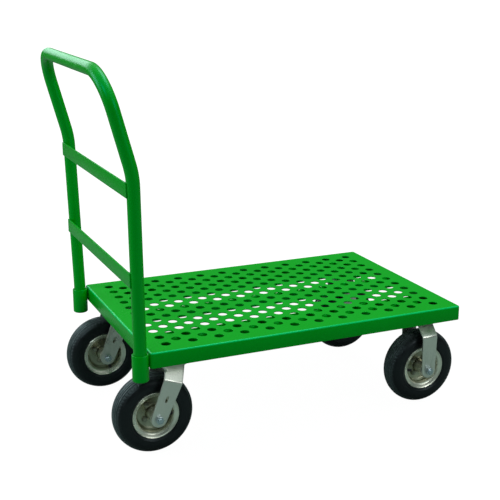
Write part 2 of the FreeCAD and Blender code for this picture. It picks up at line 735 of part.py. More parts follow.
def build_kingpins():
    r = num("kingpin_diameter") / 2
    top = -num("lip_depth")
    crown_low = CROWN_TOP.v - num("fork_gauge")
    bolt = Part.makeCylinder(r, 31.5, V(0, 0, top - 31.5)).fuse(hexagon(19.0, 7.5, top)).removeSplitter().Solids[0]
    nut = hexagon(19.0, 9.5, 0, bore=r).mirror(V(0, 0, 0), V(0, 0, 1))
    nut.translate(V(0, 0, crown_low - 0.3))
    for label, shape in (("kingpin_bolts", bolt), ("kingpin_nuts", nut)):
        copies = []
        for side in (1, -1):
            s = shape.copy()
            s.translate(V(num("kingpin_x"), side * num("caster_y"), 0))
            copies.append(s)
        place(group(label, copies))


def axle_shapes():
    """Bolt with its head on the +Y side, nut on the -Y side and spacer sleeve."""
    r = num("axle_diameter") / 2
    out = num("fork_outer")
    shank = Part.makeCylinder(r, 2 * out + 10.5, V(0, 0, -out))
    tip = Part.makeCone(r, r - 1.0, 1.0, V(0, 0, out + 10.5))
    head = hexagon(19.0, 8.0, 0).mirror(V(0, 0, 0), V(0, 0, 1))
    head.translate(V(0, 0, -out))
    bolt = along_y(shank.fuse(tip).fuse(head).removeSplitter().Solids[0])
    nut = along_y(hexagon(19.0, 8.5, out, bore=r))
    span = out - num("fork_gauge") - 0.1
    ro = num("sleeve_od") / 2
    sleeve = Part.makeCylinder(ro, 2 * span, V(0, 0, -span)).cut(Part.makeCylinder(r + 0.1, 2 * span + 2, V(0, 0, -span - 1)))
    return bolt, nut, along_y(sleeve.Solids[0])


def build_axle_hardware():
    bolt, nut, sleeve = axle_shapes()
    cy = num("caster_y")
    for word, shape in (("bolt", bolt), ("nut", nut), ("sleeve", sleeve)):
        for name, side in (("left", 1), ("right", -1)):
            s = shape.copy()
            s.translate(V(num("kingpin_x") - num("swivel_offset"), side * cy, num("axle_level")))
            place(group("%s_swivel_axle_%s" % (name, word), [s]))
        copies = []
        for side in (1, -1):
            s = shape.copy()
            s.translate(V(num("rigid_x"), side * cy, num("axle_level")))
            copies.append(s)
        place(group("rigid_axle_%ss" % word, copies))


def build_balls():
    for name, side in (("left", 1), ("right", -1)):
        balls = []
        count = 22
        for i in range(count):
            a = 2 * math.pi * (i + 0.5) / count
            c = V(num("ball_circle") * math.cos(a), num("ball_circle") * math.sin(a), num("ball_level"))
            balls.append(Part.makeSphere(num("ball_diameter") / 2, c))
        f = group(name + "_swivel_balls", balls)
        place(f, num("kingpin_x"), side * num("caster_y"))
        # grease nipple screwed into the front of the crown, between the legs
        base = V(0, 0, 0)
        n = Part.makeCylinder(3.0, 3.5, base, V(0, 0, 1))
        n = n.fuse(Part.makeCone(2.6, 1.8, 3.5, V(0, 0, 3.5))).fuse(Part.makeSphere(2.2, V(0, 0, 8.2)))
        n = n.removeSplitter().Solids[0]
        n.rotate(V(0, 0, 0), V(1, 0, 0), 180)
        n.translate(V(0, 15.5, CROWN_TOP.v - num("fork_gauge")))
        g = group(name + "_grease_nipple", [n])
        place(g, num("kingpin_x"), side * num("caster_y"))


# ---------------------------------------------------------------------- wheels
def rim_profile(sign):
    """Section of one pressed rim half: hub barrel, disc, well, bead seat and flange."""
    t = D["rim_gauge"]
    hb = D["hub_bore"] / 2
    bs, fr = D["bead_seat_radius"], D["rim_flange_radius"]
    hh = D["hub_half_length"]
    out = [(hb, 0.0), (44.0, 0.0), (bs, 6.5), (bs, 26.5), (bs + 3.5, 29.2), (fr - 2.2, 30.0),
           (fr, 31.6), (fr - 1.0, 33.4), (fr - 3.0, 32.4), (bs + 3.0, 31.2), (bs - t, 27.4), (bs - t, 7.6), (44.0 - 1.0, t),
           (hb + t + 1.5, t), (hb + t, t + 1.5), (hb + t, hh - 1.0), (hb + t + 1.2, hh), (hb, hh)]
    arcs = {3: (5.0, 1)}
    if sign > 0:
        return [(r, y) for r, y in out], {3: (5.0, 1)}
    flipped = [(r, -q(y)) for r, y in out][::-1]
    n = len(flipped)
    # edge i joins i and i + 1; after reversal edge 3 becomes n - 2 - 3
    return flipped, {n - 2 - 3: (5.0, 1)}


def build_rim(label, sign, place_at):
    b = new_body(label)
    verts, arcs = rim_profile(sign)
    sk = new_sketch(b, "XY_Plane")
    outline(sk, verts, arcs)
    revolve(b, sk)
    sk = new_sketch(b, "XZ_Plane")
    reach = math.sqrt(0.5)
    circle(sk, D["rim_bolt_circle"] * reach, D["rim_bolt_circle"] * reach, 4.3)
    hole = cut(b, sk, 12.0, symmetric=True)
    polar(b, hole, "Y_Axis", 4)
    if sign < 0:
        # passage for the valve stem through the well wall
        sk = new_sketch(b, "YZ_Plane", 40.0)
        circle(sk, -12.5, 0, 6.2)
        cut(b, sk, 14.0, flip=True)
    return place_at(b)


def tyre_points():
    r, w, bs = D["tyre_radius"], D["tyre_half_width"], D["bead_seat_radius"]
    outer = [(bs, 14.5), (bs, 26.2), (bs + 3.4, 28.7), (bs + 8.0, 29.1), (bs + 13.6, 31.0), (r - 36.0, w - 0.6), (r - 26.0, w),
             (r - 15.5, w - 2.4), (r - 7.5, 25.0), (r - 2.2, 14.5), (r, 0.0)]
    inner = [(r - 6.5, 0.0), (r - 8.5, 13.0), (r - 13.5, 21.5), (r - 20.0, w - 6.4), (r - 28.0, w - 4.6),
             (r - 38.0, w - 5.2), (bs + 9.0, 25.4), (bs + 4.0, 19.5)]
    return outer, inner


def smooth_wire(outer, inner):
    """Tyre section: splines through the outer and inner lines, closed at the beads."""
    up = [V(q(r).v, q(y).v, 0) for r, y in outer]
    upper = up[3:]
    mirrored = [V(p.x, -p.y, 0) for p in upper[:-1]][::-1]
    crown = Part.BSplineCurve()
    crown.interpolate(upper + mirrored)
    low_pts = [V(q(r).v, q(y).v, 0) for r, y in inner]
    hollow_line = [V(p.x, -p.y, 0) for p in low_pts[1:]][::-1] + low_pts
    hollow = Part.BSplineCurve()
    hollow.interpolate(hollow_line)
    edges = [crown.toShape()]
    # bead on the -Y side, hollow, bead on the +Y side
    neg = [V(p.x, -p.y, 0) for p in up[:4]][::-1]
    for a, b in zip(neg[:-1], neg[1:]):
        edges.append(Part.LineSegment(a, b).toShape())
    edges.append(Part.LineSegment(neg[-1], hollow_line[0]).toShape())
    edges.append(hollow.toShape())
    edges.append(Part.LineSegment(hollow_line[-1], up[0]).toShape())
    for a, b in zip(up[:3], up[1:4]):
        edges.append(Part.LineSegment(a, b).toShape())
    return Part.Wire(Part.__sortEdges__(edges))


def build_wheel(name, x, side, spin):
    y = side * num("caster_y")
    level = num("axle_level")

    def place_at(obj):
        return place(obj, x, y, level, spin)

    # tyre: the carcass section is a smooth curve, so it is turned from a spline
    outer, inner = tyre_points()
    face = Part.Face(smooth_wire(outer, inner))
    tyre = face.revolve(V(0, 0, 0), V(0, 1, 0), 360)
    f = doc.addObject("Part::Feature", name + "_tyre")
    f.Label = name + "_tyre"
    f.Shape = tyre.Solids[0]
    place_at(f)

    # inner tube: thin ring inside the tyre, open through its valve stem
    line = [V(q(r).v - 1.0, q(yy).v, 0) for r, yy in inner[:-1]]
    line[0] = V(line[0].x, 0, 0)
    line = [V(p.x, max(0.0, p.y - 1.0), 0) for p in line]
    bs = num("bead_seat_radius")
    line.append(V(bs + 4.5, 13.0, 0))
    line.append(V(bs + 2.2, 6.0, 0))
    line.append(V(bs + 1.6, 0.0, 0))
    half = line[1:-1]
    ring_pts = [line[0]] + half + [line[-1]] + [V(p.x, -p.y, 0) for p in half[::-1]]
    ring = Part.BSplineCurve()
    ring.interpolate(ring_pts, PeriodicFlag=True)
    skin = Part.Face(Part.Wire(ring.toShape())).revolve(V(0, 0, 0), V(0, 1, 0), 360)
    core_pts = []
    centre = V((num("tyre_radius") - 7.5 + bs + 1.6) / 2, 0, 0)
    for p in ring_pts:
        d = p - centre
        core_pts.append(centre + d.normalize() * (d.Length - 2.4) if d.Length > 3 else p)
    ring = Part.BSplineCurve()
    ring.interpolate([centre + (p - centre) * ((p - centre).Length - 2.4) / (p - centre).Length for p in ring_pts],
                     PeriodicFlag=True)
    hollow = Part.Face(Part.Wire(ring.toShape())).revolve(V(0, 0, 0), V(0, 1, 0), 360)
    stem_base = V(bs + 3.2, -8.5, 0)
    stem_tip = V(36.0, -23.0, 0)
    axis = stem_tip - stem_base
    stem = Part.makeCylinder(4.0, axis.Length, stem_base, axis)
    foot = Part.makeCylinder(6.5, 1.6, stem_base, axis)
    bore = Part.makeCylinder(1.4, axis.Length + 12, stem_base - axis.normalize() * 6, axis)
    tube = skin.Solids[0].fuse(stem).fuse(foot).cut(hollow.Solids[0]).cut(bore)
    f = doc.addObject("Part::Feature", name + "_inner_tube")
    f.Label = name + "_inner_tube"
    f.Shape = sorted(tube.Solids, key=lambda s: s.Volume)[-1]
    place_at(f)

    build_rim(name + "_rim_left_half", 1, place_at)
    build_rim(name + "_rim_right_half", -1, place_at)

    # two sealed bearings pressed into the hub barrel
    rb, rs, w, hh = num("hub_bore") / 2, num("bearing_bore") / 2, num("bearing_width"), num("hub_half_length")
    races = []
    for s in (1, -1):
        lo = hh - w if s > 0 else -hh
        ring = Part.makeCylinder(rb, w, V(0, lo, 0), V(0, 1, 0)).cut(Part.makeCylinder(rs, w + 2, V(0, lo - 1, 0), V(0, 1, 0)))
        face_y = lo + w if s > 0 else lo
        dish = Part.makeCylinder(rb - 2.6, 0.8, V(0, face_y - (0.8 if s > 0 else 0), 0), V(0, 1, 0)).cut(
            Part.makeCylinder(rs + 1.8, 2.0, V(0, face_y - 1.0, 0), V(0, 1, 0)))
        races.append(ring.cut(dish).Solids[0])
    place_at(group(name + "_wheel_bearings", races))

    # clamp bolts of the split rim with their nuts, nut side towards -Y
    pieces = []
    grip = 2 * num("rim_gauge")
    for i in range(4):
        shank = Part.makeCylinder(4.0, grip + 9.0, V(0, 0, -grip / 2))
        head = hexagon(12.7, 5.0, 0, chamfer=0.7).mirror(V(0, 0, 0), V(0, 0, 1))
        head.translate(V(0, 0, -grip / 2))
        bolt = along_y(shank.fuse(head).removeSplitter().Solids[0])
        nut = along_y(hexagon(12.7, 6.5, grip / 2, bore=4.0, chamfer=0.7))
        for s in (bolt, nut):
            s.translate(V(num("rim_bolt_circle"), 0, 0))
            s.rotate(V(0, 0, 0), V(0, 1, 0), 45.0 + 90.0 * i)
            pieces.append(s)
    place_at(group(name + "_rim_bolts", pieces))


# ----------------------------------------------------------------------- build
build_deck_pan()
build_rail("left_side_rail", 1)
build_rail("right_side_rail", -1)
build_spine()
build_pads()
build_socket("left_handle_socket", 1)
build_socket("right_handle_socket", -1)
build_socket_plugs()
build_swivel_plate("left_swivel_top_plate", 1)
build_swivel_plate("right_swivel_top_plate", -1)
build_swivel_fork("left_swivel_fork", 1)
build_swivel_fork("right_swivel_fork", -1)
build_rigid_fork("left_rigid_fork", 1)
build_rigid_fork("right_rigid_fork", -1)
build_plate_fasteners()
build_kingpins()
build_axle_hardware()
build_balls()
build_handle()
swivel_x = num("kingpin_x") - num("swivel_offset")
build_wheel("left_swivel", swivel_x, 1, 70.0)
build_wheel("right_swivel", swivel_x, -1, 9.0)
build_wheel("left_rigid", num("rigid_x"), 1, 200.0)
build_wheel("right_rigid", num("rigid_x"), -1, 173.0)
doc.recompute()

# ---------------------------------------------------------------------- checks
for obj in doc.Objects:
    if "Invalid" in obj.State or "Error" in obj.State:
        raise RuntimeError("%s (%s) is in state %s" % (obj.Label, obj.Name, obj.State))
names = set()
for obj in SUBPARTS:
    shape = obj.Shape
    if shape.isNull() or not shape.isValid() or not shape.Solids:
        raise RuntimeError("%s has no valid solid" % obj.Label)
    if obj.Label in names:
        raise RuntimeError("two sub-parts are called %s" % obj.Label)
    names.add(obj.Label)
    for s in shape.Solids:
        if s.Volume <= 0:
            raise RuntimeError("%s is inside out" % obj.Label)

os.makedirs("parts", exist_ok=True)
box = FreeCAD.BoundBox()
for obj in SUBPARTS:
    obj.Shape.exportStep("parts/" + obj.Label + ".step")
    box.add(obj.Shape.BoundBox)
print("%d sub-parts, offset %.3f, box X %.2f..%.2f Y %.2f..%.2f Z %.2f..%.2f" % (
    len(SUBPARTS), SHIFT, box.XMin, box.XMax, box.YMin, box.YMax, box.ZMin, box.ZMax))
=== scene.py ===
import bpy
import bmesh
import math
import random

import numpy as np
from mathutils import Matrix, Vector, geometry


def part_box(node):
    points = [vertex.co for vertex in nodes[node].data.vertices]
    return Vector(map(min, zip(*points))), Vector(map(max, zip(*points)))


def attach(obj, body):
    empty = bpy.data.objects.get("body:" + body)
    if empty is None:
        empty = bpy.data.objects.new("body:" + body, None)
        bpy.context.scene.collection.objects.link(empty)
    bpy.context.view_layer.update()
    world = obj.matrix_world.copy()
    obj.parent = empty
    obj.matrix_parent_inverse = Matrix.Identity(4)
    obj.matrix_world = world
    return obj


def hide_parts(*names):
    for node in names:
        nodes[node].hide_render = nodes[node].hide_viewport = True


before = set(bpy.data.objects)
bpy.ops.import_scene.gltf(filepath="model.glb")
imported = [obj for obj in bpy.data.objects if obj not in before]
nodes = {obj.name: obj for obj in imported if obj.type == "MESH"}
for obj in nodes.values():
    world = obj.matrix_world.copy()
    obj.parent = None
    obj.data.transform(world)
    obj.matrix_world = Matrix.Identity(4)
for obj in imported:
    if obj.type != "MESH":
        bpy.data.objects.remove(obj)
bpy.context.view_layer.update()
scene = bpy.context.scene
rng = random.Random(11)

# Deck reference point: middle of the deck's top face, taken from the CAD frame.
d_lo, d_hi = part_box("deck_pan")
DECK = Vector(((d_lo.x + d_hi.x) / 2, (d_lo.y + d_hi.y) / 2, d_hi.z))
MM = 0.001


def W(x, y, z):
    """Deck-frame millimetres to row-frame metres."""
    return Vector((DECK.x + x * MM, DECK.y + y * MM, DECK.z + z * MM))


def centre_of(node):
    lo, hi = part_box(node)
    return (lo + hi) / 2


# ------------------------------------------------------------------- camera
cam_data = bpy.data.cameras.new("view_camera")
cam = bpy.data.objects.new("view_camera", cam_data)
scene.collection.objects.link(cam)
cam_data.sensor_fit = "HORIZONTAL"
cam_data.sensor_width = 36.0
cam_data.lens = 1028.944 * 36.0 / 500.0
cam_data.clip_start = 0.05
cam_data.clip_end = 60.0
right = Vector((0.91424846, -0.40514541, 0.00263441))
down = Vector((-0.10845956, -0.25100371, -0.96189067))
ahead = Vector((0.39036684, 0.87912134, -0.27342165))
m = Matrix.Identity(4)
for r in range(3):
    m[r][0], m[r][1], m[r][2] = right[r], -down[r], -ahead[r]
m.translation = W(-1194.53, -2566.71, 939.38)
cam.matrix_world = m
scene.camera = cam

# ------------------------------------------------------------ stage and light
scene.view_settings.view_transform = "Standard"
scene.view_settings.look = "None"
scene.view_settings.exposure = 0.0
scene.view_settings.gamma = 1.0


def emission_world():
    world = bpy.data.worlds.new("studio")
    scene.world = world
    world.use_nodes = True
    nt = world.node_tree
    nt.nodes.clear()
    out = nt.nodes.new("ShaderNodeOutputWorld")
    seen = nt.nodes.new("ShaderNodeBackground")
    seen.inputs["Color"].default_value = (1, 1, 1, 1)
    seen.inputs["Strength"].default_value = 1.0
    light = nt.nodes.new("ShaderNodeBackground")
    light.inputs["Strength"].default_value = 0.80
    coord = nt.nodes.new("ShaderNodeTexCoord")
    ramp = nt.nodes.new("ShaderNodeValToRGB")
    sep = nt.nodes.new("ShaderNodeSeparateXYZ")
    nt.links.new(coord.outputs["Generated"], sep.inputs[0])
    nt.links.new(sep.outputs["Z"], ramp.inputs[0])
    stops = ((0.0, 0.05), (0.22, 0.08), (0.47, 0.30), (0.62, 0.55), (0.85, 0.85))
    while len(ramp.color_ramp.elements) < len(stops):
        ramp.color_ramp.elements.new(0.5)
    for element, (where, level) in zip(ramp.color_ramp.elements, stops):
        element.position = where
        element.color = (level * 0.80, level, level * 0.95, 1)
    nt.links.new(ramp.outputs["Color"], light.inputs["Color"])
    path = nt.nodes.new("ShaderNodeLightPath")
    mix = nt.nodes.new("ShaderNodeMixShader")
    nt.links.new(path.outputs["Is Camera Ray"], mix.inputs[0])
    nt.links.new(light.outputs[0], mix.inputs[1])
    nt.links.new(seen.outputs[0], mix.inputs[2])
    nt.links.new(mix.outputs[0], out.inputs["Surface"])


emission_world()


def area(name, loc, aim, size, power, colour=(1, 1, 1), size_y=None):
    data = bpy.data.lights.new(name, "AREA")
    data.energy = power
    data.color = colour
    data.shape = "RECTANGLE" if size_y else "SQUARE"
    data.size = size
    if size_y:
        data.size_y = size_y
    ob = bpy.data.objects.new(name, data)
    scene.collection.objects.link(ob)
    ob.location = loc
    ob.rotation_mode = "QUATERNION"
    ob.rotation_quaternion = (Vector(aim) - Vector(loc)).to_track_quat("-Z", "Y")
    return ob


area("top_box", (0.75, 0.05, 3.1), (0.0, 0.0, 0.3), 2.4, 44.0, (0.93, 1.0, 0.98), size_y=1.3)
area("left_box", (-3.0, 0.9, 1.7), (-0.2, 0.0, 0.4), 1.8, 38.0, (0.88, 1.0, 1.0), size_y=1.6)
area("right_box", (1.35, -2.7, 1.6), (0.1, -0.2, 0.2), 1.3, 14.5, (0.95, 1.0, 0.98), size_y=1.2)
area("front_box", (-2.6, -1.9, 2.75), (-0.45, -0.2, 0.6), 0.75, 17.0, (0.80, 1.0, 1.0), size_y=0.6)
area("back_box", (-1.0, 3.0, 2.15), (-0.5, 0.0, 0.95), 2.3, 31.0, (0.82, 1.0, 1.0), size_y=1.6)

floor_mesh = bpy.data.meshes.new("floor")
floor_mesh.from_pydata([(-40, -40, 0), (40, -40, 0), (40, 40, 0), (-40, 40, 0)], [], [(0, 1, 2, 3)])
floor = bpy.data.objects.new("floor", floor_mesh)
scene.collection.objects.link(floor)
floor.location.z = -0.0004


# ----------------------------------------------------------------- materials
class Shader:
    """Small helper for building node materials."""

    def __init__(self, name):
        self.mat = bpy.data.materials.new(name)
        self.mat.use_nodes = True
        self.nt = self.mat.node_tree
        self.nt.nodes.clear()
        self.out = self.nt.nodes.new("ShaderNodeOutputMaterial")
        self.bsdf = self.nt.nodes.new("ShaderNodeBsdfPrincipled")
        self.nt.links.new(self.bsdf.outputs[0], self.out.inputs["Surface"])
        self.coord = self.nt.nodes.new("ShaderNodeTexCoord").outputs["Object"]

    def set(self, **values):
        names = {"metallic": "Metallic", "roughness": "Roughness", "specular": "Specular IOR Level",
                 "coat": "Coat Weight", "coat_roughness": "Coat Roughness", "sheen": "Sheen Weight",
                 "anisotropic": "Anisotropic", "ior": "IOR", "tint": "Specular Tint"}
        for key, value in values.items():
            self.bsdf.inputs[names[key]].default_value = value
        return self

    def node(self, kind, **props):
        n = self.nt.nodes.new(kind)
        for key, value in props.items():
            setattr(n, key, value)
        return n

    def link(self, a, b):
        self.nt.links.new(a, b)

    def scaled(self, sx, sy, sz, rot=(0, 0, 0)):
        n = self.node("ShaderNodeMapping")
        n.inputs["Scale"].default_value = (sx, sy, sz)
        n.inputs["Rotation"].default_value = rot
        self.link(self.coord, n.inputs["Vector"])
        return n.outputs[0]

    def noise(self, scale, detail=3.0, rough=0.5, vector=None, distortion=0.0):
        n = self.node("ShaderNodeTexNoise")
        n.inputs["Scale"].default_value = scale
        n.inputs["Detail"].default_value = detail
        n.inputs["Roughness"].default_value = rough
        n.inputs["Distortion"].default_value = distortion
        self.link(vector or self.coord, n.inputs["Vector"])
        return n.outputs["Fac"]

    def voronoi(self, scale, feature="F1", vector=None):
        n = self.node("ShaderNodeTexVoronoi", feature=feature)
        n.inputs["Scale"].default_value = scale
        self.link(vector or self.coord, n.inputs["Vector"])
        return n

    def ramp(self, fac, stops):
        n = self.node("ShaderNodeValToRGB")
        while len(n.color_ramp.elements) < len(stops):
            n.color_ramp.elements.new(0.5)
        for e, (pos, col) in zip(n.color_ramp.elements, stops):
            e.position = pos
            e.color = (*col, 1.0) if len(col) == 3 else col
        self.link(fac, n.inputs[0])
        return n.outputs[0]

    def span(self, fac, lo, hi, a=0.0, b=1.0):
        n = self.node("ShaderNodeMapRange")
        for k, v in zip(("From Min", "From Max", "To Min", "To Max"), (lo, hi, a, b)):
            n.inputs[k].default_value = v
        self.link(fac, n.inputs["Value"])
        return n.outputs[0]

    def mix(self, fac, a, b, blend="MIX"):
        n = self.node("ShaderNodeMix", data_type="RGBA", blend_type=blend)
        if isinstance(fac, float):
            n.inputs[0].default_value = fac
        else:
            self.link(fac, n.inputs[0])
        for sock, val in ((n.inputs[6], a), (n.inputs[7], b)):
            if isinstance(val, tuple):
                sock.default_value = (*val, 1.0)
            else:
                self.link(val, sock)
        return n.outputs[2]

    def math(self, op, a, b=None):
        n = self.node("ShaderNodeMath", operation=op)
        for sock, val in ((n.inputs[0], a), (n.inputs[1], b)):
            if val is None:
                continue
            if isinstance(val, (int, float)):
                sock.default_value = val
            else:
                self.link(val, sock)
        return n.outputs[0]

    def colour(self, socket):
        self.link(socket, self.bsdf.inputs["Base Color"])

    def rough(self, socket):
        self.link(socket, self.bsdf.inputs["Roughness"])

    def bump(self, height, strength, distance, chain=None):
        n = self.node("ShaderNodeBump")
        n.inputs["Strength"].default_value = strength
        n.inputs["Distance"].default_value = distance
        self.link(height, n.inputs["Height"])
        if chain is not None:
            self.link(chain, n.inputs["Normal"])
        self.link(n.outputs[0], self.bsdf.inputs["Normal"])
        return n.outputs[0]

    def xyz(self):
        n = self.node("ShaderNodeSeparateXYZ")
        self.link(self.coord, n.inputs[0])
        return n.outputs


def powder_coat(name, base, dark, roughness=0.34, gloss=0.2, tint=(0.3, 1.0, 0.7, 1.0), peel_strength=0.05, fold=None):
    """Gloss powder coat: faint orange peel, slow tone drift, fine specks of grit in the film.

    fold: (centre x, centre y, half length, half width, top) of a folded sheet, in metres. Along the fold the base
    colour is painted paler and bluer, a painted highlight for the light line the fold catches.
    """
    s = Shader(name)
    s.set(metallic=0.0, specular=gloss, tint=tint)
    drift = s.span(s.noise(5.0, 2.0), 0.3, 0.7)
    tone = s.mix(drift, base, dark)
    speck = s.span(s.noise(1400.0, 2.0), 0.68, 0.8, 0.0, 0.1)
    film = s.mix(speck, tone, tuple(min(1.0, c * 1.3) for c in base))
    if fold:
        cx, cy, hx, hy, top = fold
        x, y, z = s.xyz()
        ex = s.math("SUBTRACT", s.math("ABSOLUTE", s.math("SUBTRACT", x, cx)), hx)
        ey = s.math("SUBTRACT", s.math("ABSOLUTE", s.math("SUBTRACT", y, cy)), hy)
        rim = s.span(s.math("MAXIMUM", ex, ey), -0.0055, -0.0030)
        depth = s.span(s.math("SUBTRACT", top, z), 0.0012, 0.0042, 1.0, 0.0)
        over = s.math("MULTIPLY", s.math("MULTIPLY", rim, depth), s.span(s.noise(16.0, 3.0), 0.3, 0.7, 0.75, 1.0))
        # Painted highlight: mix towards a paler, bluer green along the folded edge, standing in for the light line the
        # fold catches.
        film = s.mix(over, film, (0.0, 0.52, 0.135))
    s.colour(film)
    s.rough(s.span(s.noise(12.0, 2.0), 0.3, 0.7, roughness - 0.015, roughness + 0.02))
    if peel_strength > 0.0:
        peel = s.bump(s.noise(420.0, 1.5), peel_strength, 0.0005)
        s.bump(s.noise(60.0, 2.0), peel_strength * 0.6, 0.0012, chain=peel)
    return s.mat


def plated_zinc(name, base, tint, metallic=0.9, roughness=0.36, grain=(900, 900, 60), spangle=150.0):
    """Zinc plate: crystal spangle, rolling grain and a faint chromate tint."""
    s = Shader(name)
    s.set(metallic=metallic, specular=0.5)
    v = s.voronoi(spangle)
    cell = s.span(v.outputs["Distance"], 0.0, 0.9, 0.0, 0.35)
    cloud = s.span(s.noise(22.0, 4.0, 0.6), 0.35, 0.68)
    mottled = s.mix(cell, base, tuple(min(1.0, c * 1.22) for c in base))
    s.colour(s.mix(cloud, mottled, tint))
    lines = s.noise(1.0, 2.0, 0.6, vector=s.scaled(*grain))
    s.rough(s.span(s.math("ADD", s.math("MULTIPLY", lines, 0.5), s.math("MULTIPLY", cloud, 0.5)), 0.25, 0.75, roughness - 0.07, roughness + 0.1))
    s.bump(s.math("ADD", s.math("MULTIPLY", lines, 0.6), s.math("MULTIPLY", s.noise(260.0, 3.0), 0.4)), 0.12, 0.0003)
    return s.mat


def tyre_rubber():
    """Moulded rubber: bluish bloom, a paler tread band that is partly dirt and partly a painted sheen, fine mould
    texture.
    """
    s = Shader("tyre_rubber")
    s.set(metallic=0.0, specular=0.38, tint=(0.78, 0.93, 1.0, 1.0))
    x, y, z = s.xyz()
    radius = s.math("SQRT", s.math("ADD", s.math("MULTIPLY", x, x), s.math("MULTIPLY", z, z)))
    tread = s.span(radius, 0.0975, 0.1045)
    bloom = s.span(s.noise(30.0, 4.0, 0.6), 0.35, 0.7)
    side = s.mix(bloom, (0.0030, 0.0026, 0.0036), (0.0068, 0.0064, 0.0080))
    # Painted sheen: the tread band is painted pale bluish grey, partly dirt on the tread and partly standing in for the
    # light its fine ribs catch.
    tread_dust_and_sheen = s.mix(s.span(s.noise(90.0, 5.0, 0.65), 0.3, 0.75), (0.031, 0.038, 0.041), (0.088, 0.104, 0.112))
    s.colour(s.mix(tread, side, tread_dust_and_sheen))
    s.rough(s.span(s.noise(55.0, 4.0), 0.3, 0.7, 0.30, 0.44))
    grain = s.bump(s.noise(900.0, 2.0), 0.18, 0.0003)
    s.bump(s.noise(140.0, 3.0), 0.08, 0.0008, chain=grain)
    return s.mat


def yellow_zinc():
    """Rim: pale yellow chromate on pressed steel with random brown patina patches in the dish. The dish is painted
    darker as painted shade in the hollow, and the lip is painted paler as a painted highlight.
    """
    s = Shader("yellow_zinc_rim")
    s.set(metallic=0.92, specular=0.5)
    x, y, z = s.xyz()
    depth = s.math("ABSOLUTE", y)
    radius = s.math("SQRT", s.math("ADD", s.math("MULTIPLY", x, x), s.math("MULTIPLY", z, z)))
    cloud = s.span(s.noise(14.0, 3.0, 0.5, distortion=0.6), 0.32, 0.7)
    # Painted highlight: the lip band is painted much paler than the dish, standing in for the bright light the rolled
    # lip catches.
    lip = s.mix(cloud, (0.96, 0.94, 0.84), (0.88, 0.86, 0.74))
    patch = s.span(s.noise(13.0, 2.0, 0.45, distortion=0.8), 0.36, 0.60)
    # The dish: random brown patina patches, and darker overall than the lip as painted shade deep in the hollow.
    dish = s.mix(patch, (0.20, 0.165, 0.095), (0.46, 0.47, 0.36))
    s.colour(s.mix(s.span(depth, 0.008, 0.020), dish, lip))
    turned = s.noise(1.0, 2.0, 0.5, vector=s.scaled(14, 700, 14))
    s.rough(s.span(s.math("ADD", s.math("MULTIPLY", turned, 0.4), s.math("MULTIPLY", cloud, 0.6)), 0.25, 0.75, 0.22, 0.36))
    s.bump(s.math("ADD", s.math("MULTIPLY", turned, 0.3), s.math("MULTIPLY", s.noise(60.0, 2.0), 0.5)), 0.02, 0.0003)
    return s.mat


def floor_material():
    """Near-white sweep: bright to the eye, but it throws little light back up at the trolley."""
    s = Shader("pale_floor")
    s.set(roughness=0.9, specular=0.0)
    s.colour(s.mix(s.span(s.noise(0.8, 2.0), 0.3, 0.7), (0.93, 0.93, 0.93), (0.91, 0.912, 0.915)))
    s.bump(s.noise(60.0, 2.0), 0.02, 0.0005)
    glow = s.node("ShaderNodeEmission")
    glow.inputs["Color"].default_value = (1, 1, 1, 1)
    x, y, z = s.xyz()
    away = s.math("SQRT", s.math("ADD", s.math("MULTIPLY", x, x), s.math("MULTIPLY", y, y)))
    s.link(s.span(away, 0.45, 1.5, 1.02, 1.14), glow.inputs["Strength"])
    pale = s.node("ShaderNodeMixShader")
    pale.inputs[0].default_value = 0.965
    s.link(s.bsdf.outputs[0], pale.inputs[1])
    s.link(glow.outputs[0], pale.inputs[2])
    dim = s.node("ShaderNodeBsdfDiffuse")
    dim.inputs["Color"].default_value = (0.21, 0.26, 0.24, 1)
    path = s.node("ShaderNodeLightPath")
    pick = s.node("ShaderNodeMixShader")
    s.link(path.outputs["Is Camera Ray"], pick.inputs[0])
    s.link(dim.outputs[0], pick.inputs[1])
    s.link(pale.outputs[0], pick.inputs[2])
    s.link(pick.outputs[0], s.out.inputs["Surface"])
    return s.mat


MAT = {
    "deck": powder_coat("green_powder_coat_deck", (0.0, 0.350, 0.010), (0.0, 0.322, 0.007), 0.27, 0.20, (0.02, 1.0, 0.80, 1.0), 0.006,
                        fold=(DECK.x, DECK.y, (d_hi.x - d_lo.x) / 2, (d_hi.y - d_lo.y) / 2, DECK.z)),
    "tube": powder_coat("green_powder_coat_tube", (0.0, 0.335, 0.0015), (0.0, 0.312, 0.001), 0.33, 0.44, (0.0, 1.0, 0.88, 1.0), 0.0),
    "fork": plated_zinc("dull_zinc_fork", (0.70, 0.70, 0.64), (0.76, 0.76, 0.70), 0.90, 0.33),
    "bolt": plated_zinc("bright_zinc_fastener", (0.50, 0.58, 0.64), (0.58, 0.64, 0.68), 1.0, 0.24, (500, 500, 500), 420.0),
    "steel": plated_zinc("turned_steel_sleeve", (0.34, 0.34, 0.35), (0.28, 0.28, 0.29), 1.0, 0.3, (60, 1200, 60), 600.0),
    "ball": plated_zinc("bearing_steel", (0.55, 0.55, 0.57), (0.62, 0.62, 0.64), 1.0, 0.16, (300, 900, 300), 700.0),
    "brass": plated_zinc("nickelled_brass_nipple", (0.55, 0.45, 0.26), (0.62, 0.52, 0.32), 1.0, 0.22, (300, 300, 300), 500.0),
    "rim": yellow_zinc(),
    # Rim bolts: olive zinc with a darker base than the other fasteners, as painted shade for bolts sitting down in the
    # wheel dish.
    "rim_bolt": plated_zinc("rim_bolt_zinc_painted_shade", (0.30, 0.30, 0.25), (0.36, 0.35, 0.28), 0.9, 0.42, (400, 400, 400), 420.0),
    "tyre": tyre_rubber(),
}
rubber = Shader("inner_tube_rubber")
rubber.set(roughness=0.6, specular=0.4)
